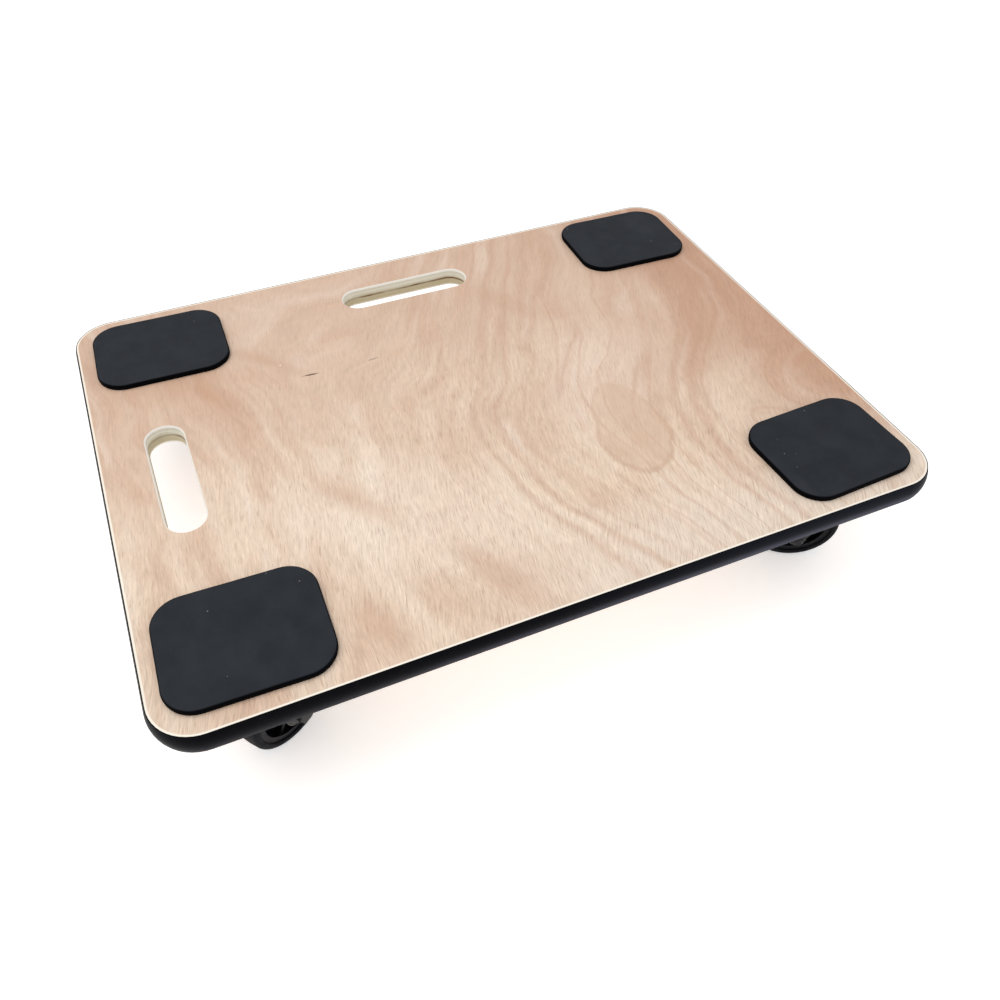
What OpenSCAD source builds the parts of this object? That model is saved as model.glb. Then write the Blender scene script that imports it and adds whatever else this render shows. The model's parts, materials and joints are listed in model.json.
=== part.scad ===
// Furniture dolly: a plywood deck on four swivel casters, with rubber corner pads,
// two hand holes and a T-shaped edge band.
// Millimetres, +Z up, +X along the deck's length. The origin is on the floor,
// under the middle of the deck.

/* [Deck] */
// Length of the plywood deck, along X
deck_l = 600; // [500:5:800]
// Width of the plywood deck, along Y
deck_w = 455; // [420:5:600]
// Thickness of the plywood deck
deck_t = 18; // [16:1:24]
// Radius of the deck's corners
deck_r = 32; // [20:1:50]

/* [Hand holes] */
// Length of a hand hole
hand_l = 122; // [90:2:150]
// Width of a hand hole
hand_w = 30; // [24:1:40]
// Distance from the deck's edge to the middle of a hand hole
hand_inset = 53; // [45:1:70]
// Radius routed along the hand hole's edges
hand_round = 2; // [1:0.5:5]

/* [Edge band] */
// How far the band's face stands out of the deck's edge
band_out = 2.5; // [2:0.5:5]
// How far the band's tongue reaches into the deck
tongue_in = 9; // [6:0.5:12]
// Thickness of the band's tongue
tongue_t = 1.6; // [1.2:0.1:2.4]

/* [Pads] */
// Length of a corner pad, along X
pad_l = 110; // [80:1:130]
// Width of a corner pad, along Y
pad_w = 90; // [70:1:100]
// Thickness of a corner pad
pad_t = 5; // [3:0.5:10]
// Radius of a pad's corners
pad_r = 23; // [10:1:30]
// Gap between a pad and the deck's edge
pad_inset = 14; // [8:1:24]

/* [Casters] */
// Diameter of a wheel
wheel_d = 75; // [60:1:80]
// Width of a wheel's tread
tread_w = 25; // [20:1:28]
// Height from the floor to the deck's underside
caster_h = 95; // [92:1:115]
// Distance from the swivel axis to the axle
trail = 32; // [26:1:36]
// Distance from the deck's long edge to the swivel axis
caster_inset_y = 75; // [70:1:110]
// Distance from the deck's short edge to the swivel axis
caster_inset_x = 106; // [70:1:140]
// Length of a mounting plate, along X
plate_l = 92; // [88:1:100]
// Width of a mounting plate, along Y
plate_w = 62; // [60:1:70]

/* [Hidden] */
CORNERS = ["front_left", "front_right", "rear_left", "rear_right"];
PARTS = [
    "pad", "top_plate", "screws", "kingpin", "race_cup", "swivel_balls", "yoke",
    "axle_bolt", "axle_washers", "axle_nut", "axle_sleeve", "wheel_core", "tread",
    "hub_bushes"
];

// Which way each corner lies from the middle, and where its caster trails at rest
SIDE_X = [-1, 1, -1, 1];
SIDE_Y = [-1, -1, 1, 1];
HEADING = [212, 332, 118, 22];
// The pads are cut and glued by hand: how far each one lies from its true place,
// how far it is turned, and how much longer and wider it came out
PAD_SHIFT = [[-1.3, 0.9], [1.8, -1], [0.1, -1.6], [0.4, -0.3]];
PAD_TURN = [-1.5, 2.6, -1.6, -1.7];
PAD_TRIM = [[3, 4.4], [-1, 3.4], [1.8, 0.8], [0.4, 0.4]];
// The rear and the left hand hole are routed by hand, and lie and turn a little off
HAND_SHIFT = [[-0.5, 1.7], [-0.9, 2.6]];
HAND_TURN = [-0.4, 0.3];

deck_z = caster_h;
top_z = deck_z + deck_t;

// Edge band
groove_t = tongue_t + 0.8;
groove_in = tongue_in + 1;
barb_count = 3;
barb_out = 0.3;
band_edge = 0.7;
seam_x = -deck_l / 2 + 38;
seam_gap = 0.6;

// Mounting plate and its screws
plate_t = 2.5;
plate_r = 8;
plate_z = caster_h - plate_t;
screw_x = plate_l / 2 - 9;
screw_y = plate_w / 2 - 8.5;
screw_r = 3;
screw_in = 14;
screw_head_r = 6;
screw_head_h = 3.4;
slot_r = 3.6;
slot_len = 12;

// Swivel stack, from the mounting plate down
running = 0.12;
upper_ball_r = 3;
upper_race_r = 18.5;
upper_balls = 16;
upper_ball_z = plate_z - 4.2;
boss_h = 3;
boss_r = 25;
boss_in_r = 12;
crown_top = upper_ball_z - 1.2;
crown_t = 3;
crown_bot = crown_top - crown_t;
crown_r = 28.2;
rim_t = 2.4;
rim_h = 4;
lower_ball_r = 2.5;
lower_race_r = 9;
lower_balls = 9;
lower_ball_z = crown_bot - 1.5;
cup_top = lower_ball_z - 0.8;
cup_bot = cup_top - 3.2;
cup_r = 13.4;
cup_lip_t = 0.9;
cup_lip_z = crown_bot - 1;
pin_r = 5;
pin_head_r = 8;
pin_head_h = 2.6;

// Yoke
fork_gap = 32;
fork_t = 2.5;
leg_out = fork_gap / 2 + fork_t;
leg_inset = 0.25;
leg_end_r = 13;
leg_boss_r = 10;
leg_boss_h = 0.8;
leg_front_x = -19;
leg_back_x = 24;
leg_curve_r = 60;
bend_r = 7;

// Axle
axle_z = wheel_d / 2;
bolt_r = 4;
hex_r = 7.5;
bolt_head_h = 5.3;
washer_r = 8;
washer_t = 1.5;
nut_h = 6.5;
collar_r = 5.8;
collar_h = 1.6;
bolt_past_nut = 2.5;
sleeve_r = 6;
seat_y = leg_out + leg_boss_h;

// Wheel
bush_bore = sleeve_r + 0.06;
bush_r = 9;
bush_flange_r = 12;
bush_flange_t = 1.4;
bush_len = 10;
hub_r = 14;
hub_half = 14;
web_half = 2.5;
rib_half = 8.5;
rib_t = 3;
ribs = 6;
rim_in_r = 26.5;
tread_in_r = 31;
core_half = tread_w / 2 - 1.5;
tread_round = 4;
tread_crown = 0.5;

$fn = 64;

// Points along an arc, from angle a0 to a1
function arc(cx, cy, r, a0, a1, n = 6) =
    [for (i = [0:n]) let (a = a0 + (a1 - a0) * i / n) [cx + r * cos(a), cy + r * sin(a)]];

// Where the line from p touches a circle; side is 1 or -1
function tangent(p, c, r, side) =
    let (v = c - p, d = norm(v), a = atan2(v[1], v[0]) + side * asin(r / d))
    p + sqrt(d * d - r * r) * [cos(a), sin(a)];

module rounded_rect(l, w, r) {
    square([l - 2 * r, w], center = true);
    square([l, w - 2 * r], center = true);
    for (x = [-1, 1], y = [-1, 1])
        translate([x * (l / 2 - r), y * (w / 2 - r)]) circle(r);
}

module stadium(l, w) {
    square([l - w, w], center = true);
    for (x = [-1, 1]) translate([x * (l - w) / 2, 0]) circle(w / 2);
}

// A ring whose section is drawn in the plane of x = radius, y = height
module ring_at(z) {
    translate([0, 0, z]) rotate_extrude() children();
}

module ball_groove(race_r, ball_r, z) {
    ring_at(z) translate([race_r, 0]) circle(ball_r + running);
}

// ---- Deck ----

// The bit that rounds one edge of a hand hole, with the deck's face at height 0
module edge_cutter_section() {
    difference() {
        translate([0, -hand_round]) square([hand_w / 2 + hand_round, hand_round + 1]);
        translate([hand_w / 2 + hand_round, -hand_round]) circle(hand_round);
    }
}

module hand_hole_edge() {
    run = hand_l - hand_w;
    for (s = [-1, 1]) translate([s * run / 2, 0, 0]) rotate_extrude() edge_cutter_section();
    for (t = [0, 180]) rotate([0, 0, t])
        translate([-run / 2, 0, 0]) rotate([90, 0, 90]) linear_extrude(run) edge_cutter_section();
}

module hand_hole() {
    translate([0, 0, -1]) linear_extrude(deck_t + 2) stadium(hand_l, hand_w);
    translate([0, 0, deck_t]) hand_hole_edge();
    mirror([0, 0, 1]) hand_hole_edge();
}

module at_hand_holes() {
    translate(HAND_SHIFT[0]) translate([0, deck_w / 2 - hand_inset, 0])
        rotate([0, 0, HAND_TURN[0]]) children();
    translate(HAND_SHIFT[1]) translate([-deck_l / 2 + hand_inset, 0, 0])
        rotate([0, 0, 90 + HAND_TURN[1]]) children();
}

module band_groove() {
    translate([0, 0, (deck_t - groove_t) / 2]) linear_extrude(groove_t) difference() {
        rounded_rect(deck_l + 2, deck_w + 2, deck_r + 1);
        rounded_rect(deck_l - 2 * groove_in, deck_w - 2 * groove_in, deck_r - groove_in);
    }
}

module deck() {
    color("burlywood") translate([0, 0, deck_z]) difference() {
        linear_extrude(deck_t) rounded_rect(deck_l, deck_w, deck_r);
        at_hand_holes() hand_hole();
        band_groove();
        for (c = [0:3]) at_caster(c) at_screws() screw_shank(screw_r + 0.02);
    }
}

// ---- Edge band ----

// The band's section: a bulged face and a barbed tongue, with the deck's edge at x = 0
module band_section() {
    sagitta = band_out - band_edge;
    bulge_r = (deck_t * deck_t / 4 + sagitta * sagitta) / (2 * sagitta);
    intersection() {
        translate([band_out - bulge_r, deck_t / 2]) circle(bulge_r, $fn = 128);
        square([band_out, deck_t]);
    }
    translate([-tongue_in, (deck_t - tongue_t) / 2]) square([tongue_in + 0.5, tongue_t]);
    for (i = [0:barb_count - 1]) {
        x = -tongue_in + i * (tongue_in - 2) / barb_count;
        polygon([
            [x, deck_t / 2],
            [x + 2, deck_t / 2 + tongue_t / 2 + barb_out],
            [x + 2, deck_t / 2 - tongue_t / 2 - barb_out]
        ]);
    }
}

module band_straight(len) {
    rotate([90, 0, 0]) linear_extrude(len, center = true) band_section();
}

module band_corner() {
    rotate_extrude(angle = 90) translate([deck_r, 0]) band_section();
}

module edge_band() {
    long = deck_l - 2 * deck_r;
    short = deck_w - 2 * deck_r;
    color("#1b1c1f") translate([0, 0, deck_z]) difference() {
        union() {
            for (i = [0, 180]) rotate([0, 0, i]) {
                translate([deck_l / 2, 0, 0]) band_straight(short);
                rotate([0, 0, 90]) translate([deck_w / 2, 0, 0]) band_straight(long);
                translate([long / 2, short / 2, 0]) band_corner();
                translate([-long / 2, short / 2, 0]) rotate([0, 0, 90]) band_corner();
            }
        }
        translate([seam_x, deck_w / 2 - tongue_in - 1, -1])
            cube([seam_gap, tongue_in + band_out + 2, deck_t + 2]);
    }
}

// ---- Corner pads ----

module pad(c) {
    x = deck_l / 2 - pad_inset - pad_l / 2;
    y = deck_w / 2 - pad_inset - pad_w / 2;
    color("#2b2d30")
        translate([SIDE_X[c] * x + PAD_SHIFT[c][0], SIDE_Y[c] * y + PAD_SHIFT[c][1], top_z])
        rotate([0, 0, PAD_TURN[c]]) linear_extrude(pad_t)
        rounded_rect(pad_l + PAD_TRIM[c][0], pad_w + PAD_TRIM[c][1], pad_r);
}

// ---- Where the casters go ----

module at_caster(c) {
    x = deck_l / 2 - caster_inset_x;
    y = deck_w / 2 - caster_inset_y;
    translate([SIDE_X[c] * x, SIDE_Y[c] * y, 0]) children();
}

// The swivelling half of a caster, with its wheel trailing along its own +X
module at_swivel(c) {
    at_caster(c) rotate([0, 0, HEADING[c]]) children();
}

// The axle's own frame: turned so that +Z runs along the axle
module at_axle(c) {
    at_swivel(c) translate([trail, 0, axle_z]) rotate([-90, 0, 0]) children();
}

module at_screws() {
    for (x = [-1, 1], y = [-1, 1]) translate([x * screw_x, y * screw_y, 0]) children();
}

// ---- Fixed half of a caster ----

module race_boss_section() {
    slope = 1.2;
    polygon([
        [boss_in_r, -boss_h],
        [boss_r - slope, -boss_h],
        [boss_r, 0],
        [boss_r, 0.5],
        [boss_in_r - slope, 0.5],
        [boss_in_r - slope, 0]
    ]);
}

module top_plate(c) {
    recess_d = 1.5;
    recess_in_r = boss_in_r + 2;
    recess_out_r = boss_r - 2;
    color("#202124") at_caster(c) difference() {
        union() {
            translate([0, 0, plate_z]) linear_extrude(plate_t)
                rounded_rect(plate_l, plate_w, plate_r);
            ring_at(plate_z) race_boss_section();
        }
        ring_at(caster_h - recess_d) translate([recess_in_r, 0])
            square([recess_out_r - recess_in_r, recess_d + 1]);
        ball_groove(upper_race_r, upper_ball_r, upper_ball_z);
        kingpin_solid(0.01);
        at_screws() translate([0, 0, plate_z - 1]) linear_extrude(plate_t + 2)
            stadium(slot_len, 2 * slot_r);
    }
}

// A pan head with a cross recess, its flat on the mounting plate
module screw_head() {
    dome_r = (screw_head_r * screw_head_r + screw_head_h * screw_head_h) / (2 * screw_head_h);
    arm = 5;
    difference() {
        intersection() {
            translate([0, 0, plate_z - screw_head_h + dome_r]) sphere(dome_r);
            translate([0, 0, plate_z - screw_head_h]) cylinder(r = screw_head_r, h = screw_head_h);
        }
        for (t = [0, 90]) rotate([0, 0, t])
            translate([-arm / 2, -0.6, plate_z - screw_head_h - 1]) cube([arm, 1.2, 3]);
    }
}

module screw_shank(r) {
    tip = 4;
    translate([0, 0, -plate_t]) cylinder(r = r, h = plate_t + screw_in - tip);
    translate([0, 0, screw_in - tip]) cylinder(r1 = r, r2 = 0.3, h = tip);
}

module screws(c) {
    color("silver") at_caster(c) at_screws() {
        screw_head();
        translate([0, 0, caster_h]) screw_shank(screw_r);
    }
}

// The rivet that holds the swivel together: countersunk in the plate, peened under the cup
module kingpin_solid(gap = 0) {
    rotate_extrude() polygon(concat(
        [
            [0, caster_h],
            [pin_head_r + gap, caster_h],
            [pin_r + gap, plate_z - 0.5],
            [pin_r + gap, cup_bot],
            [pin_head_r, cup_bot]
        ],
        arc(pin_head_r - pin_head_h, cup_bot, pin_head_h, 0, -90),
        [[0, cup_bot - pin_head_h]]
    ));
}

module kingpin(c) {
    color("silver") at_caster(c) kingpin_solid();
}

module race_cup(c) {
    color("silver") at_caster(c) difference() {
        rotate_extrude() polygon(concat(
            [
                [pin_r, cup_bot],
                [cup_r - 2.5, cup_bot]
            ],
            arc(cup_r - 2.5, cup_bot + 2.5, 2.5, -90, 0),
            [
                [cup_r, cup_lip_z],
                [cup_r - cup_lip_t, cup_lip_z],
                [cup_r - cup_lip_t, cup_top],
                [pin_r, cup_top]
            ]
        ));
        ball_groove(lower_race_r, lower_ball_r, lower_ball_z);
    }
}

// ---- Swivelling half of a caster ----

module swivel_balls(c) {
    color("gainsboro") at_swivel(c) {
        for (i = [0:upper_balls - 1]) rotate([0, 0, i * 360 / upper_balls])
            translate([upper_race_r, 0, upper_ball_z]) sphere(upper_ball_r);
        for (i = [0:lower_balls - 1]) rotate([0, 0, i * 360 / lower_balls])
            translate([lower_race_r, 0, lower_ball_z]) sphere(lower_ball_r);
    }
}

// Both legs and the top between them, seen along the direction of travel
module channel_section() {
    top = crown_top - leg_inset;
    in_top = top - fork_t;
    in_r = bend_r - fork_t;
    difference() {
        union() {
            translate([-leg_out, 0]) square([2 * leg_out, top - bend_r]);
            translate([-leg_out + bend_r, 0]) square([2 * (leg_out - bend_r), top]);
            for (s = [-1, 1]) translate([s * (leg_out - bend_r), top - bend_r]) circle(bend_r);
        }
        translate([-fork_gap / 2, -1]) square([fork_gap, in_top - in_r + 1]);
        translate([-fork_gap / 2 + in_r, -1]) square([fork_gap - 2 * in_r, in_top + 1]);
        for (s = [-1, 1]) translate([s * (fork_gap / 2 - in_r), in_top - in_r]) circle(in_r);
    }
}

// A leg seen from the side, swept back to the axle
module leg_outline() {
    heel_angle = 215;
    web_angle = 205;
    web_reach = 30;
    axle = [trail, axle_z];
    top_back = [leg_back_x, crown_bot];
    nape = [leg_front_x, crown_bot - 4];
    heel = axle + leg_end_r * [cos(heel_angle), sin(heel_angle)];
    chord = heel - nape;
    half = norm(chord) / 2;
    away = [chord[1], -chord[0]] / norm(chord);
    curve_c = nape + chord / 2 + away * sqrt(leg_curve_r * leg_curve_r - half * half);
    difference() {
        union() {
            translate(axle) circle(leg_end_r);
            polygon([
                [leg_front_x, crown_top + 1],
                [leg_back_x, crown_top + 1],
                top_back,
                tangent(top_back, axle, leg_end_r - 0.3, 1),
                axle,
                axle + web_reach * [cos(web_angle), sin(web_angle)],
                nape - [0, 5]
            ]);
        }
        translate(curve_c) circle(leg_curve_r, $fn = 128);
    }
}

module crown_section() {
    round_r = 3;
    polygon(concat(
        [[0, crown_bot], [crown_r - round_r, crown_bot]],
        arc(crown_r - round_r, crown_bot + round_r, round_r, -90, 0),
        [
            [crown_r, crown_top + rim_h],
            [crown_r - rim_t, crown_top + rim_h],
            [crown_r - rim_t, crown_top],
            [0, crown_top]
        ]
    ));
}

module yoke(c) {
    color("#202124") at_swivel(c) difference() {
        union() {
            intersection() {
                translate([leg_front_x - 1, 0, 0]) rotate([90, 0, 90])
                    linear_extrude(trail + leg_end_r - leg_front_x + 2) channel_section();
                rotate([90, 0, 0]) linear_extrude(2 * leg_out + 2, center = true) leg_outline();
            }
            rotate_extrude() crown_section();
            translate([trail, 0, axle_z]) rotate([90, 0, 0]) for (s = [0, 1]) mirror([0, 0, s])
                translate([0, 0, leg_out - 0.5]) cylinder(r = leg_boss_r, h = leg_boss_h + 0.5);
        }
        translate([0, 0, crown_bot - 1]) cylinder(r = pin_r + 1.2, h = crown_t + 2);
        ball_groove(upper_race_r, upper_ball_r, upper_ball_z);
        ball_groove(lower_race_r, lower_ball_r, lower_ball_z);
        translate([trail, 0, axle_z]) rotate([90, 0, 0])
            cylinder(r = bolt_r + 0.05, h = 2 * seat_y + 2, center = true);
    }
}

// A hexagon with both of its ends chamfered
module hex_block(h) {
    chamfer = 0.7;
    flat_r = hex_r * cos(30);
    intersection() {
        cylinder(r = hex_r, h = h, $fn = 6);
        union() {
            cylinder(r1 = flat_r, r2 = flat_r + chamfer * 2, h = chamfer);
            translate([0, 0, chamfer]) cylinder(r = flat_r + chamfer * 2, h = h - 2 * chamfer);
            translate([0, 0, h - chamfer]) cylinder(r1 = flat_r + chamfer * 2, r2 = flat_r, h = chamfer);
        }
    }
}

// The bolt's head is on the caster's right as it rolls, and its nut on the left
module axle_bolt(c) {
    grip = seat_y + washer_t;
    end = grip + nut_h + collar_h + bolt_past_nut;
    color("silver") at_axle(c) {
        translate([0, 0, grip]) hex_block(bolt_head_h);
        translate([0, 0, 1 - end]) cylinder(r = bolt_r, h = grip + end - 0.9);
        translate([0, 0, -end]) cylinder(r1 = bolt_r - 0.9, r2 = bolt_r, h = 1);
    }
}

module axle_washers(c) {
    color("silver") at_axle(c) for (s = [0, 1]) mirror([0, 0, s])
        translate([0, 0, seat_y]) difference() {
            cylinder(r = washer_r, h = washer_t);
            translate([0, 0, -1]) cylinder(r = bolt_r + 0.3, h = washer_t + 2);
        }
}

module axle_nut(c) {
    color("silver") at_axle(c) mirror([0, 0, 1]) translate([0, 0, seat_y + washer_t]) difference() {
        union() {
            hex_block(nut_h);
            translate([0, 0, nut_h - 0.5]) cylinder(r1 = collar_r, r2 = collar_r - 0.4, h = collar_h + 0.5);
        }
        translate([0, 0, -1]) cylinder(r = bolt_r + 0.01, h = nut_h + collar_h + 2);
    }
}

module axle_sleeve(c) {
    color("silver") at_axle(c) difference() {
        cylinder(r = sleeve_r, h = fork_gap, center = true);
        cylinder(r = bolt_r + 0.1, h = fork_gap + 2, center = true);
    }
}

// ---- Wheel ----

module wheel_core(c) {
    color("#25262a") at_axle(c) difference() {
        union() {
            cylinder(r = hub_r, h = 2 * hub_half, center = true);
            cylinder(r = rim_in_r + 1, h = 2 * web_half, center = true);
            difference() {
                cylinder(r = tread_in_r, h = 2 * core_half, center = true);
                cylinder(r = rim_in_r, h = 2 * core_half + 2, center = true);
            }
            for (i = [0:ribs - 1]) rotate([0, 0, i * 360 / ribs])
                translate([hub_r - 1, -rib_t / 2, -rib_half])
                cube([rim_in_r - hub_r + 2, rib_t, 2 * rib_half]);
        }
        cylinder(r = bush_r, h = 2 * hub_half + 2, center = true);
    }
}

// Half of the tread's section: x = radius, y = distance from the wheel's middle plane
module tread_section() {
    half = tread_w / 2;
    shoulder = wheel_d / 2 - tread_round - tread_crown;
    polygon(concat(
        [[tread_in_r, -half + 0.8], [tread_in_r + 0.8, -half]],
        arc(shoulder, -half + tread_round, tread_round, -90, -15),
        [[wheel_d / 2, -2], [wheel_d / 2, 2]],
        arc(shoulder, half - tread_round, tread_round, 15, 90),
        [[tread_in_r + 0.8, half], [tread_in_r, half - 0.8]]
    ));
}

module tread(c) {
    color("#303236") at_axle(c) rotate_extrude() tread_section();
}

module hub_bushes(c) {
    color("ivory") at_axle(c) for (s = [0, 1]) mirror([0, 0, s])
        difference() {
            union() {
                translate([0, 0, hub_half - bush_len]) cylinder(r = bush_r, h = bush_len);
                translate([0, 0, hub_half]) cylinder(r = bush_flange_r, h = bush_flange_t);
            }
            cylinder(r = bush_bore, h = fork_gap);
        }
}

deck();
edge_band();
for (c = [0:3]) {
    pad(c);
    top_plate(c);
    screws(c);
    kingpin(c);
    race_cup(c);
    swivel_balls(c);
    yoke(c);
    axle_bolt(c);
    axle_washers(c);
    axle_nut(c);
    axle_sleeve(c);
    wheel_core(c);
    tread(c);
    hub_bushes(c);
}
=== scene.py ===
import json
import math

import bmesh
import bpy
from mathutils import Matrix, Vector, noise


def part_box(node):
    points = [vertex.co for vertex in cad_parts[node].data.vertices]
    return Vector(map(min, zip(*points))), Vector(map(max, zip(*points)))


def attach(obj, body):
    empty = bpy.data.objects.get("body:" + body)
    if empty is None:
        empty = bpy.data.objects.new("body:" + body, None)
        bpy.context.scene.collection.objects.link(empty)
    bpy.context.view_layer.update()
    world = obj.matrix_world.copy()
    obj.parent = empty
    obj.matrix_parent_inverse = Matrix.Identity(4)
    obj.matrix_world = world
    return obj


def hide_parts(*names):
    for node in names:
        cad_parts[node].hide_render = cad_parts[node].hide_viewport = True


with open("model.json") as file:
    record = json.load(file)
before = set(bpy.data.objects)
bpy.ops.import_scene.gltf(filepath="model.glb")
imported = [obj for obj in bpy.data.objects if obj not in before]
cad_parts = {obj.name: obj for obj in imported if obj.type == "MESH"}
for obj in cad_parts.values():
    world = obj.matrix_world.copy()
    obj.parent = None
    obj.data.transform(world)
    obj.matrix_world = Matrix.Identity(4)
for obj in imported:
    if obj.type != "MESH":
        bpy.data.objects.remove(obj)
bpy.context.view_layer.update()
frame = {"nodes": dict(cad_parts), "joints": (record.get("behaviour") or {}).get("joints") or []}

CORNERS = ("front_left", "front_right", "rear_left", "rear_right")
MM = 0.001
deck_low, deck_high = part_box("deck")
TOP = deck_high.z / MM
PLY = (deck_high.z - deck_low.z) / MM
HALF_X = deck_high.x / MM
HALF_Y = deck_high.y / MM
CORNER_R = 32.0
PAD_RIM_POINTS = 176
PAD_EDGE_R = 1.3
PAD_FACE_RINGS = 16

# Lines in the veneer: place across the grain, width, strength
VENEER_LINES = (
    (-11.0, 8.0, 0.9), (9.0, 6.0, 1.0), (27.0, 8.0, 0.6), (168.0, 7.0, 0.9), (190.0, 9.0, 0.7),
)
# Ellipses on the deck's top: middle x and y, half length, half width, turn, strength
BROWN_STREAKS = (
    (-207.0, 92.0, 44.0, 13.0, -63.0, 0.6), (-150.0, 116.0, 42.0, 11.0, -50.0, 0.45),
    (-132.0, -70.0, 55.0, 17.0, -55.0, 0.5), (-58.0, -186.0, 52.0, 15.0, -66.0, 0.45),
    (-140.0, -205.0, 40.0, 22.0, -75.0, 0.35), (-245.0, 112.0, 60.0, 28.0, 0.0, 0.35),
    (288.0, -62.0, 34.0, 12.0, 25.0, 0.8), (225.0, -10.0, 70.0, 26.0, 60.0, 0.45),
    (3.0, 150.0, 60.0, 18.0, 65.0, 0.3), (75.0, 120.0, 60.0, 16.0, -55.0, 0.3),
)
CRACKS = ((-119.0, 82.0, 8.5, 1.3, -4.0, 0.85), (-63.0, 82.0, 6.0, 0.9, 6.0, 0.5))
BUD_MIDDLE = (102.0, -80.0)
BUD_LENGTH = 57.0
BUD_WIDTH = 30.0

CAMERA_PLACE = (-0.2202, -0.5527, 0.6091)
CAMERA_HEADING, CAMERA_PITCH, CAMERA_ROLL = 23.81, 46.29, 0.49
CAMERA_LENS = 32.97
WORLD_STRENGTH = 0.78


# ---- Node materials ----

def srgb(r, g, b):
    """A colour given as 0 to 255, in the linear values that nodes use."""
    def linear(v):
        v /= 255
        return v / 12.92 if v <= 0.04045 else ((v + 0.055) / 1.055) ** 2.4
    return (linear(r), linear(g), linear(b), 1.0)


class Graph:
    """One node material, built socket by socket."""

    def __init__(self, name):
        self.material = bpy.data.materials.new(name)
        self.material.use_nodes = True
        self.tree = self.material.node_tree
        self.tree.nodes.clear()
        self.coords = self.node("TexCoord").outputs["Object"]

    def node(self, kind, inputs=None, **settings):
        made = self.tree.nodes.new("ShaderNode" + kind)
        for key, value in settings.items():
            setattr(made, key, value)
        for key, value in (inputs or {}).items():
            if isinstance(value, bpy.types.NodeSocket):
                self.tree.links.new(value, made.inputs[key])
            else:
                made.inputs[key].default_value = value
        return made

    def math(self, operation, *values, clamp=False):
        made = self.node("Math", dict(enumerate(values)), operation=operation, use_clamp=clamp)
        return made.outputs[0]

    def add(self, *values):
        total = values[0]
        for v in values[1:]:
            total = self.math("ADD", total, v)
        return total

    def times(self, *values):
        total = values[0]
        for v in values[1:]:
            total = self.math("MULTIPLY", total, v)
        return total

    def less(self, a, b):
        return self.math("SUBTRACT", a, b)

    def vector(self, x=0.0, y=0.0, z=0.0):
        return self.node("CombineXYZ", {0: x, 1: y, 2: z}).outputs[0]

    def split(self, vector):
        return self.node("SeparateXYZ", {0: vector}).outputs[:3]

    def scaled(self, vector, x, y, z):
        made = self.node("VectorMath", {0: vector, 1: (x, y, z)}, operation="MULTIPLY")
        return made.outputs[0]

    def millimetres(self):
        return self.scaled(self.coords, 1 / MM, 1 / MM, 1 / MM)

    def noise(self, vector, scale=1.0, detail=2.0, roughness=0.5, distortion=0.0):
        made = self.node("TexNoise", {
            "Vector": vector, "Scale": scale, "Detail": detail,
            "Roughness": roughness, "Distortion": distortion,
        })
        return made.outputs[0]

    def swing(self, vector, amount, **settings):
        """Noise that swings about zero, up to about amount each way."""
        return self.times(self.less(self.noise(vector, **settings), 0.5), 2.0 * amount)

    def remap(self, value, low, high, to_low=0.0, to_high=1.0):
        made = self.node("MapRange", {
            "Value": value, "From Min": low, "From Max": high,
            "To Min": to_low, "To Max": to_high,
        }, interpolation_type="SMOOTHSTEP")
        return made.outputs[0]

    def mix(self, factor, a, b, blend="MIX"):
        made = self.node("Mix", {0: factor, 6: a, 7: b}, data_type="RGBA", blend_type=blend)
        return made.outputs[2]

    def shade(self, colour, factor):
        """The colour times a number."""
        grey = self.node("CombineColor", {0: factor, 1: factor, 2: factor}).outputs[0]
        return self.mix(1.0, colour, grey, "MULTIPLY")

    def cells(self, vector, scale, feature="F1"):
        made = self.node("TexVoronoi", {"Vector": vector, "Scale": scale}, feature=feature)
        return made.outputs["Distance"]

    def soft_edges(self, radius_mm):
        """A normal rounded over sharp edges, and a mask of those edges."""
        rounded = self.node("Bevel", {"Radius": radius_mm * MM}, samples=6).outputs[0]
        flat = self.node("NewGeometry").outputs["Normal"]
        dot = self.node("VectorMath", {0: rounded, 1: flat}, operation="DOT_PRODUCT")
        return rounded, self.remap(dot.outputs["Value"], 0.995, 0.9)

    def bump(self, height, distance_mm, strength=1.0, normal=None):
        inputs = {"Height": height, "Distance": distance_mm * MM, "Strength": strength}
        if normal is not None:
            inputs["Normal"] = normal
        return self.node("Bump", inputs).outputs[0]

    def finish(self, colour, roughness, normal=None, metallic=0.0, specular=0.5, **more):
        inputs = {
            "Base Color": colour, "Roughness": roughness, "Metallic": metallic,
            "Specular IOR Level": specular,
        }
        inputs.update({key.replace("_", " "): value for key, value in more.items()})
        if normal is not None:
            inputs["Normal"] = normal
        shader = self.node("BsdfPrincipled", inputs)
        self.node("OutputMaterial", {"Surface": shader.outputs[0]})
        return self.material


def ellipse(g, x, y, cx, cy, rx, ry, turn=0.0):
    """How far a point is from an ellipse's middle, in its own radii."""
    c, s = math.cos(math.radians(turn)), math.sin(math.radians(turn))
    dx, dy = g.less(x, cx), g.less(y, cy)
    u = g.times(g.add(g.times(dx, c), g.times(dy, s)), 1 / rx)
    v = g.times(g.less(g.times(dy, c), g.times(dx, s)), 1 / ry)
    return g.math("SQRT", g.add(g.times(u, u), g.times(v, v)))


def grain_noise(g, across, y, scale_x, scale_y, seed, **settings):
    """Noise drawn out along the grain."""
    return g.noise(g.vector(g.times(across, scale_x), g.times(y, scale_y), seed), **settings)


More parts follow.
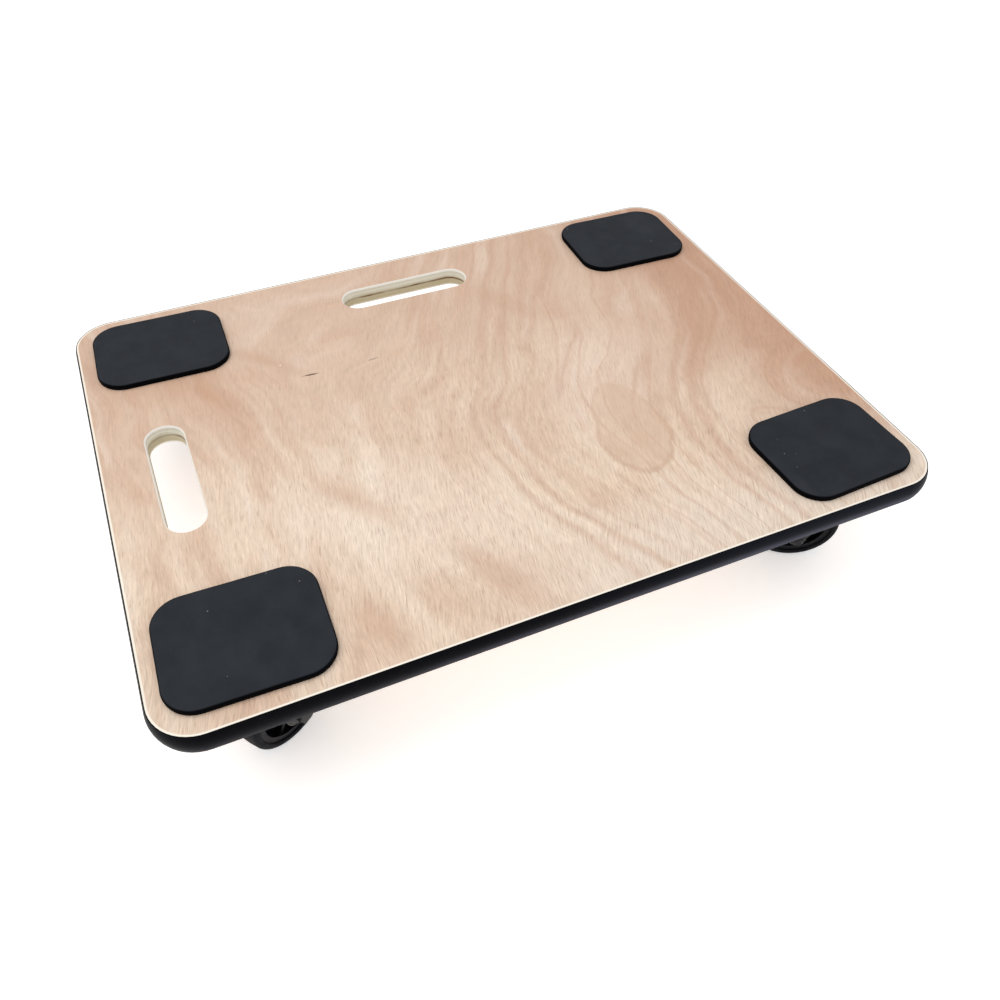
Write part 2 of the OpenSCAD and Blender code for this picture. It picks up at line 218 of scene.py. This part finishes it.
def veneer_figure(g, x, y, flat, on_top):
    """Where each point of the veneer would be if its grain ran straight."""
    from_bend = g.add(y, 80.0)
    square = g.times(from_bend, from_bend)
    bend = g.math("DIVIDE", g.times(square, 0.0024), g.add(g.times(square, 1 / 120000), 1.0))
    bend = g.times(bend, g.remap(x, -200.0, 0.0, -0.35, 1.0), g.remap(x, 60.0, 200.0, 1.0, 0.4))
    sweep = g.times(g.remap(y, -150.0, 45.0, -42.0, 42.0), g.remap(x, 70.0, 190.0))
    slow = g.swing(flat, 26.0, scale=0.0075, detail=2.0)
    quick = g.swing(flat, 4.0, scale=0.025, detail=2.0)
    grain_x = g.add(g.less(g.less(x, bend), sweep), slow, quick)
    arcs = ellipse(g, x, y, 300.0, -92.0, 1.0, 0.8)
    near_arcs = g.times(g.remap(arcs, 100.0, 60.0), on_top)
    straight = g.times(grain_x, g.less(1.0, near_arcs))
    return g.add(straight, g.times(g.less(300.0, arcs), near_arcs))


def veneer_lines(g, x, y, grain_x):
    """The thin darker lines that follow the figure."""
    field = grain_noise(g, grain_x, y, 0.03, 0.0022, 11.0, detail=1.0)
    lines = g.remap(g.math("ABSOLUTE", g.less(field, 0.52)), 0.035, 0.0)
    lines = g.times(lines, g.remap(x, -60.0, 110.0, 0.15, 0.8))
    for at, wide, strong in VENEER_LINES:
        gap = g.math("ABSOLUTE", g.less(grain_x, at))
        lines = g.math("MAXIMUM", lines, g.remap(gap, wide, 0.0, 0.0, strong))
    return lines


def veneer_marks(g, colour, x, y, flat, on_top):
    """Soft brown streaks, a pear-shaped bud mark, two short cracks and a pale fleck."""
    for cx, cy, rx, ry, turn, dark in BROWN_STREAKS:
        ragged = g.swing(flat, 0.5, scale=0.03, detail=3.0)
        mark = g.add(ellipse(g, x, y, cx, cy, rx, ry, turn), ragged)
        mark = g.times(g.remap(mark, 1.2, 0.0), on_top)
        colour = g.mix(g.times(mark, dark), colour, srgb(192, 150, 122))

    bud_y = g.times(g.less(y, BUD_MIDDLE[1]), 1 / BUD_LENGTH)
    bud_x = g.less(g.less(x, BUD_MIDDLE[0]), g.times(bud_y, 7.0))
    bud_x = g.math("DIVIDE", bud_x, g.less(BUD_WIDTH, g.times(bud_y, 8.0)))
    bud = g.math("SQRT", g.add(g.times(bud_x, bud_x), g.times(bud_y, bud_y)))
    bud = g.add(bud, g.swing(flat, 0.16, scale=0.05, detail=2.0))
    inside = g.times(g.remap(bud, 1.03, 0.9), on_top)
    rim = g.times(g.remap(g.math("ABSOLUTE", g.less(bud, 0.95)), 0.1, 0.0), on_top)
    rim = g.times(rim, g.remap(bud_y, 0.6, -0.6, 0.15, 1.0))
    colour = g.mix(g.times(inside, 0.45), colour, srgb(206, 172, 146))
    colour = g.mix(g.times(rim, 0.35), colour, srgb(184, 146, 118))

    ragged = g.swing(flat, 0.5, scale=0.35, detail=3.0)
    for cx, cy, rx, ry, turn, dark in CRACKS:
        crack = g.add(ellipse(g, x, y, cx, cy, rx, ry, turn), ragged)
        crack = g.times(g.remap(crack, 1.0, 0.6), on_top)
        colour = g.mix(g.times(crack, dark), colour, srgb(92, 66, 48))
    fleck = g.times(g.remap(ellipse(g, x, y, -140.0, 105.0, 1.1, 0.9), 1.0, 0.5), on_top)
    return g.mix(g.times(fleck, 0.7), colour, srgb(250, 240, 230))


def ply_edges(g, p, depth, from_middle):
    """The plies, seen on the walls of the hand holes."""
    ply_phase = g.math("SINE", g.times(g.less(depth, 1.3), math.pi / 2.57))
    end_grain = g.remap(ply_phase, -0.5, 0.5, 0.0, 0.5)
    cloud = g.noise(g.scaled(p, 0.05, 0.05, 0.16), detail=3.0)
    grain = g.noise(g.scaled(p, 0.35, 0.35, 3.0), detail=3.0, roughness=0.6)
    pores = g.noise(g.scaled(p, 2.0, 2.0, 2.0), detail=2.0)
    lower = g.remap(g.add(depth, g.times(cloud, 5.0)), PLY / 2 - 1.5, PLY / 2 + 6.0)
    wall = g.mix(lower, srgb(223, 220, 206), srgb(188, 177, 146))
    end_grain = g.times(end_grain, g.remap(cloud, 0.3, 0.7, 0.3, 1.0))
    wall = g.mix(end_grain, wall, srgb(194, 184, 158))
    wall = g.shade(wall, g.add(0.84, g.times(grain, 0.24), g.times(pores, 0.12)))
    glue_at = g.add(PLY / 2 + 0.4, g.swing(g.scaled(p, 1.0, 1.0, 0.0), 0.7, scale=0.05))
    glue = g.remap(g.math("ABSOLUTE", g.less(depth, glue_at)), 1.5, 0.2)
    glue = g.times(glue, g.remap(g.noise(p, scale=0.045, detail=2.0), 0.3, 0.6, 0.35, 1.0))
    wall = g.mix(glue, wall, srgb(108, 74, 36))
    # Paler towards the rounded rim of each hole
    pale_rim = g.remap(from_middle, PLY / 2 - 3.4, PLY / 2 - 1.2)
    return g.mix(pale_rim, wall, srgb(236, 232, 224))


def deck_wood():
    g = Graph("deck_wood")
    p = g.millimetres()
    x, y, z = g.split(p)
    depth = g.less(TOP, z)
    on_top = g.remap(depth, 4.0, 2.0)
    side_shift = g.times(g.less(1.0, on_top), 900.0)
    flat = g.vector(g.add(x, side_shift), y, 0.0)
    grain_x = g.add(veneer_figure(g, x, y, flat, on_top), side_shift)
    broad = grain_noise(g, grain_x, y, 0.02, 0.004, 3.0, detail=2.0)
    streak = grain_noise(g, grain_x, y, 0.07, 0.008, 7.0, detail=2.0)
    fine = grain_noise(g, grain_x, y, 0.3, 0.016, 1.0, detail=3.0, roughness=0.6)
    cloud = g.noise(flat, scale=0.009, detail=3.0)
    patch = g.noise(g.vector(grain_x, g.times(y, 0.5), 0.0), scale=0.035, detail=3.0)

    # Short fibres, open pores and pale flecks, which lean over more towards the right
    lean = g.add(0.28, g.times(x, 0.0006), g.swing(flat, 0.1, scale=0.01, detail=1.0))
    fibre_x = g.add(g.less(x, g.times(y, lean)), side_shift)
    fibre = grain_noise(g, fibre_x, y, 0.6, 0.055, 5.0, detail=3.0, roughness=0.8)
    pores = g.remap(grain_noise(g, fibre_x, y, 1.05, 0.075, 9.0, detail=1.0), 0.58, 0.7)
    flecks = g.remap(grain_noise(g, fibre_x, y, 0.8, 0.08, 15.0, detail=1.0), 0.6, 0.74)
    off_centre = g.math("ABSOLUTE", g.add(x, 40.0))
    coarse = g.add(y, g.times(off_centre, 0.4), g.times(g.less(cloud, 0.5), 200.0))
    coarse = g.remap(coarse, -140.0, 230.0, 1.5, 0.6)
    calm = g.remap(x, -20.0, 180.0, 1.0, 0.55)

    # Cream at the front left, pinker towards the rear, browner at the right edge, with painted
    # highlights and a painted sheen towards the front
    to_rear = g.remap(g.add(y, g.times(g.less(cloud, 0.5), 260.0)), -130.0, 190.0)
    to_right = g.remap(g.add(x, g.times(g.less(broad, 0.5), 220.0)), 120.0, 320.0)
    to_right = g.times(to_right, g.remap(y, -215.0, -110.0))
    # Painted sheen: a paler, cooler strip along the front edge, fading out towards the left
    painted_front_sheen = g.times(g.remap(y, -130.0, -215.0), g.remap(x, -120.0, 60.0))
    # Painted highlight: a pale cream patch at the front left of the top
    painted_highlight = ellipse(g, x, y, -100.0, -105.0, 125.0, 75.0, -35.0)
    painted_highlight = g.remap(g.add(painted_highlight, g.swing(flat, 0.5, scale=0.015)), 1.15, 0.3)
    # Painted highlight: a pinkish-white patch in the middle of the top
    painted_pink_highlight = g.remap(ellipse(g, x, y, 115.0, -15.0, 95.0, 60.0, 50.0), 1.2, 0.2)
    lines = veneer_lines(g, x, y, grain_x)
    colour = g.mix(to_rear, srgb(227, 205, 183), srgb(210, 181, 159))
    for amount, shade in (
        (to_right, srgb(190, 147, 121)),
        (g.remap(broad, 0.42, 0.72, 0.0, 0.5), srgb(200, 162, 137)),
        (g.times(g.remap(streak, 0.48, 0.75, 0.0, 0.35), calm), srgb(192, 152, 127)),
        (g.times(g.remap(streak, 0.48, 0.25, 0.0, 0.4), calm), srgb(234, 218, 203)),
        (g.remap(patch, 0.45, 0.75, 0.0, 0.45), srgb(204, 166, 140)),
        (g.times(painted_highlight, 0.6), srgb(236, 220, 202)),
        (g.times(painted_pink_highlight, 0.35), srgb(232, 212, 196)),
        (g.times(painted_front_sheen, 0.6), srgb(230, 215, 199)),
        (g.times(lines, 0.32), srgb(186, 142, 117)),
    ):
        colour = g.mix(amount, colour, shade)
    contrast = g.add(g.times(g.less(fibre, 0.5), 0.55), g.times(flecks, 0.08))
    value = g.add(1.0, g.times(g.less(fine, 0.5), 0.24, calm), g.times(contrast, coarse))
    colour = g.shade(colour, value)
    colour = g.mix(g.times(pores, coarse, 0.2), colour, srgb(150, 108, 78))
    colour = veneer_marks(g, colour, x, y, flat, on_top)

    # A painted highlight: a thin pale line along the deck's top edge, where the edge would catch
    # the light
    corner_x = g.math("MAXIMUM", g.less(g.math("ABSOLUTE", x), HALF_X - CORNER_R), 0.0)
    corner_y = g.math("MAXIMUM", g.less(g.math("ABSOLUTE", y), HALF_Y - CORNER_R), 0.0)
    corner = g.math("SQRT", g.add(g.times(corner_x, corner_x), g.times(corner_y, corner_y)))
    painted_edge_highlight = g.remap(corner, CORNER_R - 1.9, CORNER_R - 1.0)
    colour = g.mix(g.times(painted_edge_highlight, 0.9), colour, srgb(249, 241, 227))

    from_middle = g.math("ABSOLUTE", g.less(depth, PLY / 2))
    in_core = g.remap(from_middle, PLY / 2 - 0.15, PLY / 2 - 0.4)
    colour = g.mix(in_core, colour, ply_edges(g, p, depth, from_middle))
    height = g.add(g.times(fibre, 0.6), g.times(fine, 0.5), g.times(pores, -0.7))
    roughness = g.add(0.5, g.times(fine, 0.1), g.times(pores, 0.1), g.times(in_core, 0.2))
    return g.finish(colour, roughness, g.bump(height, 0.06), specular=0.35)


def band_plastic():
    g = Graph("band_plastic")
    p = g.millimetres()
    x, _, z = g.split(p)
    rounded, edges = g.soft_edges(0.5)
    along = g.noise(g.scaled(p, 0.03, 0.03, 1.6), detail=3.0)
    cloud = g.noise(p, scale=0.02, detail=3.0)
    scuffs = g.remap(g.noise(g.scaled(p, 0.12, 0.12, 2.5), detail=2.0), 0.66, 0.74)
    scuffs = g.times(scuffs, g.remap(cloud, 0.45, 0.7))
    # Painted sheen: the mask called dust below is not dust but a lighter grey painted on the lower
    # half of the band's face, stronger towards the right and fading out just above the bottom edge;
    # it also roughens the surface a little
    lower_half = g.remap(z, TOP - PLY / 2 + 2.0, TOP - PLY + 3.5)
    dust = g.times(lower_half, g.remap(z, TOP - PLY, TOP - PLY + 2.0))
    dust = g.times(dust, g.remap(g.add(x, g.times(cloud, 200.0)), -150.0, 250.0, 0.1, 1.0))
    # Painted sheen: the black turns navy towards the right
    plastic_with_sheen = g.mix(g.remap(x, -120.0, 280.0), srgb(4, 4, 8), srgb(13, 15, 24))
    colour = g.mix(g.times(dust, 0.75), plastic_with_sheen, srgb(66, 67, 80))
    colour = g.mix(g.times(scuffs, 0.35), colour, srgb(58, 59, 64))
    colour = g.mix(g.times(edges, 0.2), colour, srgb(44, 45, 49))
    roughness = g.add(0.32, g.times(cloud, 0.14), g.times(scuffs, 0.25), g.times(dust, 0.1))
    height = g.add(along, g.times(g.noise(p, scale=1.4, detail=2.0), 0.5))
    return g.finish(colour, roughness, g.bump(height, 0.04, normal=rounded), specular=0.03)


def pad_rubber():
    g = Graph("pad_rubber")
    p = g.millimetres()
    on_side = g.node("Attribute", attribute_name="side").outputs["Fac"]
    skin = g.noise(p, scale=2.6, detail=4.0, roughness=0.7)
    mottle = g.noise(p, scale=0.05, detail=4.0, roughness=0.6)
    # Painted sheen: faint lighter streaks across the pads
    painted_sheen_streaks = g.noise(g.scaled(p, 0.03, 0.014, 1.0), detail=2.0)
    pits = g.remap(g.cells(p, 0.11), 0.055, 0.03)
    specks = g.remap(g.cells(p, 0.075), 0.045, 0.025)
    colour = g.mix(g.remap(mottle, 0.3, 0.7), srgb(26, 30, 36), srgb(34, 38, 44))
    colour = g.mix(g.remap(painted_sheen_streaks, 0.55, 0.8, 0.0, 0.35), colour, srgb(49, 52, 58))
    colour = g.mix(g.times(pits, 0.6), colour, srgb(14, 15, 17))
    colour = g.mix(g.times(specks, 0.6), colour, srgb(150, 152, 156))
    # Painted shade: the walls and rounded top edge, marked by the side layer, are painted near
    # black
    colour = g.mix(g.remap(on_side, 0.15, 0.7, 0.0, 0.97), colour, srgb(3, 3, 5))
    roughness = g.add(0.55, g.times(skin, 0.15), g.times(mottle, 0.1))
    height = g.add(g.times(skin, 0.8), g.times(pits, -2.5), g.times(specks, 0.8))
    specular = g.remap(on_side, 0.1, 0.7, 0.2, 0.03)
    return g.finish(colour, roughness, g.bump(height, 0.07), specular=specular)


def powder_coat(name):
    g = Graph(name)
    p = g.millimetres()
    rounded, edges = g.soft_edges(0.8)
    peel = g.noise(p, scale=0.9, detail=2.0)
    cloud = g.noise(p, scale=0.06, detail=3.0)
    chips = g.times(edges, g.remap(g.noise(p, scale=0.35, detail=4.0), 0.52, 0.6))
    dust = g.remap(g.noise(p, scale=0.12, detail=4.0), 0.5, 0.8, 0.0, 0.35)
    colour = g.mix(dust, srgb(24, 24, 27), srgb(58, 56, 54))
    colour = g.mix(g.times(edges, 0.35), colour, srgb(52, 52, 55))
    colour = g.mix(chips, colour, srgb(128, 126, 122))
    roughness = g.add(0.34, g.times(cloud, 0.16), g.times(dust, 0.5), g.times(chips, -0.1))
    height = g.add(g.times(peel, 0.8), g.times(chips, -1.0))
    normal = g.bump(height, 0.08, normal=rounded)
    return g.finish(colour, roughness, normal, metallic=g.times(chips, 0.9), specular=0.4)


def black_oxide():
    g = Graph("black_oxide")
    p = g.millimetres()
    rounded, edges = g.soft_edges(0.35)
    cloud = g.noise(p, scale=0.25, detail=3.0)
    spots = g.remap(g.noise(p, scale=0.9, detail=4.0), 0.6, 0.72)
    colour = g.mix(g.remap(cloud, 0.35, 0.65), srgb(26, 26, 29), srgb(38, 37, 38))
    colour = g.mix(g.times(spots, 0.4), colour, srgb(70, 58, 48))
    colour = g.mix(g.times(edges, 0.4), colour, srgb(92, 91, 90))
    roughness = g.add(0.3, g.times(cloud, 0.15), g.times(spots, 0.2))
    normal = g.bump(g.noise(p, scale=2.5, detail=2.0), 0.03, normal=rounded)
    return g.finish(colour, roughness, normal, metallic=0.6, specular=0.4)


def plated_steel(name, tint, roughness, grease=0.0):
    g = Graph(name)
    p = g.millimetres()
    rounded, edges = g.soft_edges(0.35)
    cloud = g.noise(p, scale=0.22, detail=3.0)
    brushed = g.noise(g.scaled(p, 1.2, 1.2, 9.0), detail=2.0)
    spots = g.remap(g.noise(p, scale=0.8, detail=4.0), 0.6, 0.72)
    colour = g.mix(g.remap(cloud, 0.35, 0.65), tint, srgb(176, 172, 150))
    colour = g.mix(g.times(spots, 0.45), colour, srgb(120, 110, 92))
    colour = g.mix(g.times(edges, 0.4), colour, srgb(222, 221, 216))
    colour = g.mix(g.times(g.remap(cloud, 0.4, 0.6), grease), colour, srgb(70, 58, 36))
    rough = g.add(roughness, g.times(cloud, 0.14), g.times(spots, 0.2))
    normal = g.bump(g.add(brushed, g.times(spots, -0.6)), 0.03, normal=rounded)
    return g.finish(colour, rough, normal, metallic=1.0)


def wheel_frame(g, corner):
    """A point's distances along and from the axle, its angle round it, and its offset."""
    joint = next(j for j in frame["joints"] if j["name"] == "roll_" + corner)
    centre, axis = Vector(joint["pos_m"]), Vector(joint["axis"])
    ahead = axis.cross(Vector((0, 0, 1)))
    offset = g.node("VectorMath", {0: g.coords, 1: tuple(centre)}, operation="SUBTRACT").outputs[0]
    offset = g.scaled(offset, 1 / MM, 1 / MM, 1 / MM)

    def along(direction):
        made = g.node("VectorMath", {0: offset, 1: tuple(direction)}, operation="DOT_PRODUCT")
        return made.outputs["Value"]

    u, v = along(ahead), g.split(offset)[2]
    radius = g.math("SQRT", g.add(g.times(u, u), g.times(v, v)))
    return along(axis), radius, g.math("ARCTAN2", v, u), offset


def tread_rubber(corner):
    g = Graph("tread_rubber_" + corner)
    across, radius, angle, p = wheel_frame(g, corner)
    skin = g.noise(p, scale=1.6, detail=4.0, roughness=0.7)
    cloud = g.noise(p, scale=0.12, detail=4.0)
    tread_at = g.times(g.remap(radius, 35.6, 37.0), g.remap(g.math("ABSOLUTE", across), 10.5, 7.0))
    worn = g.times(tread_at, g.remap(cloud, 0.3, 0.6, 0.45, 1.0))
    scrape = g.noise(g.vector(g.times(across, 1.4), g.times(angle, 3.0), 0.0), detail=3.0)
    flash = g.times(g.remap(g.math("ABSOLUTE", across), 0.45, 0.2), g.remap(radius, 34.0, 35.5))
    grit = g.times(g.remap(g.cells(p, 0.7), 0.2, 0.1), tread_at)
    colour = g.mix(g.remap(cloud, 0.35, 0.7), srgb(10, 11, 15), srgb(19, 20, 25))
    colour = g.mix(g.times(worn, 0.5), colour, srgb(54, 53, 52))
    colour = g.mix(g.times(grit, 0.35), colour, srgb(138, 130, 116))
    roughness = g.add(0.5, g.times(worn, 0.25), g.times(skin, 0.12))
    scrape = g.times(scrape, g.times(worn, 1.2))
    height = g.add(g.times(skin, 0.6), scrape, g.times(flash, 1.5), grit)
    return g.finish(colour, roughness, g.bump(height, 0.1), specular=0.08)


def core_plastic(corner):
    g = Graph("core_plastic_" + corner)
    _, radius, _, p = wheel_frame(g, corner)
    rounded, edges = g.soft_edges(0.6)
    cloud = g.noise(p, scale=0.15, detail=3.0)
    grain = g.noise(p, scale=3.2, detail=2.0)
    rings = g.math("SINE", g.times(radius, 5.0))
    dust = g.remap(g.noise(p, scale=0.4, detail=4.0), 0.5, 0.75, 0.0, 0.4)
    colour = g.mix(dust, srgb(9, 9, 13), srgb(30, 29, 29))
    colour = g.mix(g.times(edges, 0.3), colour, srgb(40, 40, 46))
    roughness = g.add(0.26, g.times(cloud, 0.15), g.times(dust, 0.5))
    normal = g.bump(g.add(grain, g.times(rings, 0.12)), 0.03, normal=rounded)
    return g.finish(colour, roughness, normal, specular=0.12)


def bush_plastic():
    g = Graph("bush_plastic")
    p = g.millimetres()
    rounded, edges = g.soft_edges(0.4)
    cloud = g.noise(p, scale=0.3, detail=3.0)
    colour = g.mix(g.remap(cloud, 0.35, 0.7), srgb(40, 40, 44), srgb(54, 54, 58))
    colour = g.mix(g.times(edges, 0.3), colour, srgb(82, 82, 86))
    roughness = g.add(0.42, g.times(cloud, 0.15))
    normal = g.bump(g.noise(p, scale=2.0, detail=3.0), 0.04, normal=rounded)
    return g.finish(colour, roughness, normal, specular=0.35)


def paint(node, material):
    data = frame["nodes"][node].data
    data.materials.clear()
    data.materials.append(material)


# ---- Corner pads ----

def outline(node, points):
    """The rim of a pad's top face, as evenly spaced points in millimetres, anticlockwise."""
    mesh = frame["nodes"][node].data
    top = max(v.co.z for v in mesh.vertices)
    rim = [v.co.xy / MM for v in mesh.vertices if v.co.z > top - 0.1 * MM]
    low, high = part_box(node)
    middle = (low.xy + high.xy) / 2 / MM
    rim.sort(key=lambda q: math.atan2(q.y - middle.y, q.x - middle.x))
    rim = [q for q, r in zip(rim, rim[1:] + rim[:1]) if (q - r).length > 0.01]
    lengths = [(r - q).length for q, r in zip(rim, rim[1:] + rim[:1])]
    step, spaced, i, used = sum(lengths) / points, [], 0, 0.0
    for k in range(points):
        while k * step > used + lengths[i]:
            used += lengths[i]
            i += 1
        t = (k * step - used) / lengths[i]
        spaced.append(rim[i].lerp(rim[(i + 1) % len(rim)], t))
    return spaced, middle


def make_pad(corner, seed):
    """A rubber pad with a soft cut edge and a face that is never quite flat."""
    node = "pad_" + corner
    low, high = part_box(node)
    base, tall = low.z / MM, (high.z - low.z) / MM
    rim, middle = outline(node, PAD_RIM_POINTS)
    count = len(rim)
    normals = []
    for i in range(count):
        d = (rim[(i + 1) % count] - rim[i - 1]).normalized()
        normals.append(Vector((d.y, -d.x)))

    # Rings from the bottom edge up the wall, over the rounded edge and in across the face
    rings = [(0.55, 0.0, 1.0), (0.3, 0.18 * tall, 1.0), (0.12, 0.45 * tall, 1.0)]
    rings.append((0.15, tall - PAD_EDGE_R - 0.35, 1.0))
    for k in range(6):
        a = math.radians(90 * k / 5)
        inset = 0.2 + PAD_EDGE_R * (1 - math.cos(a))
        height = tall - PAD_EDGE_R + PAD_EDGE_R * math.sin(a) - 0.12
        rings.append((inset, height, 1 - 0.16 * k))
    rings.append((2.2, tall - 0.1, 0.12))
    rings.append((3.4, tall - 0.14, 0.0))
    last_inset = rings[-1][0]
    bm = bmesh.new()
    # The side layer marks the walls and rounded edge, which the rubber material paints in dark
    # shade
    side = bm.verts.layers.float.new("side")

    def add_ring(inset, height, on_side, scale=1.0):
        made = []
        for q, n in zip(rim, normals):
            nick = noise.noise(Vector((q.x * 0.09, q.y * 0.09, seed))) * 0.1
            flat = q - n * max(inset + nick, 0.02)
            flat = middle + (flat - middle) * scale
            sag = 0.0
            if height > tall * 0.7:
                sag = noise.noise(Vector((flat.x * 0.03, flat.y * 0.03, seed + 5.0))) * 0.1
                sag += noise.noise(Vector((flat.x * 0.12, flat.y * 0.12, seed + 9.0))) * 0.03 - 0.05
            v = bm.verts.new(Vector((flat.x, flat.y, base + height + sag)) * MM)
            v[side] = on_side
            made.append(v)
        return made

    made = [add_ring(*r) for r in rings]
    for k in range(1, PAD_FACE_RINGS):
        inward = k / PAD_FACE_RINGS
        height = tall - 0.14 - 0.12 * math.sin(math.pi * inward / 2)
        made.append(add_ring(last_inset, height, 0.0, 1 - inward))
    for a, b in zip(made, made[1:]):
        for i in range(count):
            j = (i + 1) % count
            bm.faces.new((a[i], a[j], b[j], b[i]))
    bm.faces.new(reversed(made[0]))
    bm.faces.new(made[-1])
    mesh = bpy.data.meshes.new("rubber_pad_" + corner)
    bm.to_mesh(mesh)
    bm.free()
    for polygon in mesh.polygons:
        polygon.use_smooth = len(polygon.vertices) == 4
    pad = bpy.data.objects.new("rubber_pad_" + corner, mesh)
    bpy.context.scene.collection.objects.link(pad)
    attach(pad, "frame")
    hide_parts(node)
    return pad


rubber = pad_rubber()
for seed, corner in enumerate(CORNERS):
    make_pad(corner, seed * 3.7).data.materials.append(rubber)

paint("deck", deck_wood())
paint("edge_band", band_plastic())
coat_plate = powder_coat("plate_paint")
coat_yoke = powder_coat("yoke_paint")
zinc = plated_steel("zinc_plate", srgb(196, 198, 200), 0.26)
oxide = black_oxide()
turned = plated_steel("bare_steel", srgb(168, 168, 170), 0.3, grease=0.4)
ball_steel = plated_steel("ball_steel", srgb(205, 206, 208), 0.1, grease=0.3)
nylon = bush_plastic()
for corner in CORNERS:
    paint("top_plate_" + corner, coat_plate)
    paint("yoke_" + corner, coat_yoke)
    for part in ("screws", "race_cup"):
        paint(part + "_" + corner, zinc)
    for part in ("axle_bolt", "axle_washers", "axle_nut"):
        paint(part + "_" + corner, oxide)
    for part in ("kingpin", "axle_sleeve"):
        paint(part + "_" + corner, turned)
    paint("swivel_balls_" + corner, ball_steel)
    paint("wheel_core_" + corner, core_plastic(corner))
    paint("tread_" + corner, tread_rubber(corner))
    paint("hub_bushes_" + corner, nylon)


# ---- Stage, light and camera ----

def make_floor():
    g = Graph("floor")
    speckle = g.noise(g.coords, scale=40.0, detail=3.0)
    colour = g.mix(speckle, srgb(252, 252, 252), srgb(249, 249, 249))
    material = g.finish(colour, 0.9, specular=0.1, Emission_Color=colour, Emission_Strength=0.4)
    bm = bmesh.new()
    bmesh.ops.create_grid(bm, x_segments=4, y_segments=4, size=8.0)
    mesh = bpy.data.meshes.new("floor")
    bm.to_mesh(mesh)
    bm.free()
    mesh.materials.append(material)
    floor = bpy.data.objects.new("floor", mesh)
    bpy.context.scene.collection.objects.link(floor)


def make_light(name, place, target, width, depth, watts, colour=(1.0, 1.0, 1.0)):
    data = bpy.data.lights.new(name, "AREA")
    data.shape = "RECTANGLE"
    data.size, data.size_y = width, depth
    data.energy = watts
    data.color = colour
    light = bpy.data.objects.new(name, data)
    light.location = place
    light.rotation_euler = (Vector(target) - Vector(place)).to_track_quat("-Z", "Y").to_euler()
    bpy.context.scene.collection.objects.link(light)


def make_camera():
    data = bpy.data.cameras.new("camera")
    data.lens = CAMERA_LENS
    data.sensor_width = 36.0
    camera = bpy.data.objects.new("camera", data)
    turn = Matrix.Rotation(math.radians(-CAMERA_HEADING), 4, "Z")
    tilt = Matrix.Rotation(math.radians(90 - CAMERA_PITCH), 4, "X")
    camera.matrix_world = (
        Matrix.Translation(CAMERA_PLACE) @ turn @ tilt
        @ Matrix.Rotation(math.radians(CAMERA_ROLL), 4, "Z")
    )
    bpy.context.scene.collection.objects.link(camera)
    bpy.context.scene.camera = camera


make_floor()
make_camera()
make_light("key", (-0.7, 0.2, 1.9), (-0.05, -0.05, 0.1), 1.6, 1.6, 14.0)
make_light("sheen", (1.3, -1.5, 0.5), (0.15, -0.2, 0.1), 0.8, 0.6, 4.0, (0.85, 0.9, 1.0))
world = bpy.data.worlds.new("studio")
world.use_nodes = True
world.node_tree.nodes["Background"].inputs[0].default_value = (1.0, 1.0, 1.0, 1.0)
world.node_tree.nodes["Background"].inputs[1].default_value = WORLD_STRENGTH
bpy.context.scene.world = world
bpy.context.scene.view_settings.view_transform = "Standard"
